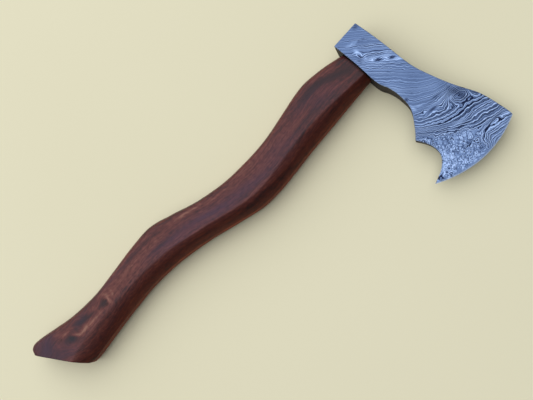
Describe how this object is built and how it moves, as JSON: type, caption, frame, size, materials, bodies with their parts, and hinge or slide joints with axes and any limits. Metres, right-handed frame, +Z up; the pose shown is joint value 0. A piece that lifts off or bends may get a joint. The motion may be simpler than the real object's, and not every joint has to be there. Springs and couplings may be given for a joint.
{
  "type": "hatchet",
  "caption": "Bearded hatchet with a layered-steel head wedged on a curved dark hardwood haft with a flared, angled butt.",
  "frame": {"origin": "bottom centre of the box round the hatchet as it lies on its side", "axes": "+X along the eye, from the butt of the haft to the top of the head; -Y towards the cutting edge; +Z up, square to the side that it lies on"},
  "size_m": [0.4832, 0.1948, 0.032],
  "materials": {
    "layered_steel": "etched layered steel with wavy light and dark lines, satin",
    "dark_hardwood": "oiled dark red-brown hardwood with streaked grain, satin",
    "pale_hardwood": "bare pale hardwood end grain",
    "mild_steel": "plain steel, lightly scuffed"
  },
  "bodies": {
    "root": {"axe_head": "layered_steel", "haft": "dark_hardwood", "kerf_wedge": "pale_hardwood", "cross_wedge_front": "mild_steel", "cross_wedge_rear": "mild_steel"}
  },
  "joints": []
}
